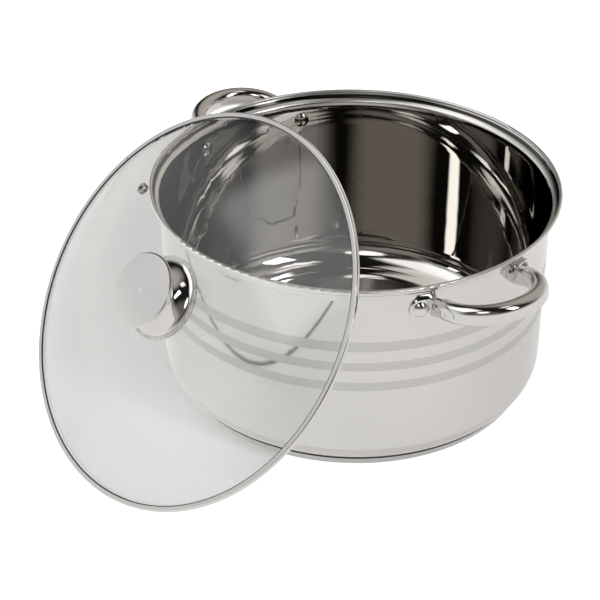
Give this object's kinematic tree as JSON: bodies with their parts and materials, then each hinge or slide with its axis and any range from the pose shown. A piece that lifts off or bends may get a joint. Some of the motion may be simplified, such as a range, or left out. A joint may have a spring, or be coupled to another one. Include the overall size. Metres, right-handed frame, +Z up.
{
  "type": "stock pot",
  "caption": "Deep stainless steel stock pot with riveted loop handles, a sandwich base and a domed glass lid that leans on the rim and lifts away.",
  "frame": {"origin": "centre of the base underside, on the surface the pot stands on", "axes": "+Z up along the pot's axis; the two handles lie along +X and -X; the lid leans on the rim on the -Y side"},
  "size_m": [0.4036, 0.4184, 0.2379],
  "materials": {
    "satin_steel": "satin outside, mirror inside",
    "base_steel": "satin",
    "aluminium_core": "matte",
    "polished_steel": "mirror polished",
    "band_steel": "polished",
    "knob_satin": "spun satin",
    "screw_steel": "bright zinc",
    "lid_glass": "clear, polished",
    "seal_rubber": "matte",
    "gasket_plastic": "translucent",
    "insert_plastic": "matte"
  },
  "bodies": {
    "pot": {"pot_body": "satin_steel", "base_core": "aluminium_core", "base_cap": "base_steel", "handle_right": "polished_steel", "handle_left": "polished_steel", "rivet_right_back": "polished_steel", "rivet_right_front": "polished_steel", "rivet_left_front": "polished_steel", "rivet_left_back": "polished_steel"},
    "lid": {"lid_glass": "lid_glass", "lid_band": "band_steel", "lid_seal": "seal_rubber", "vent_eyelet": "polished_steel", "vent_washer": "polished_steel", "knob_gasket": "gasket_plastic", "knob_body": "polished_steel", "knob_cap": "knob_satin", "knob_insert": "insert_plastic", "knob_seal": "seal_rubber", "knob_washer": "screw_steel", "knob_screw": "screw_steel"}
  },
  "joints": [
    {"name": "lid_lift", "type": "slide", "parent": "pot", "child": "lid", "axis": [0.0815, -0.7751, 0.6266], "range_m": [0, 0.2]}
  ]
}
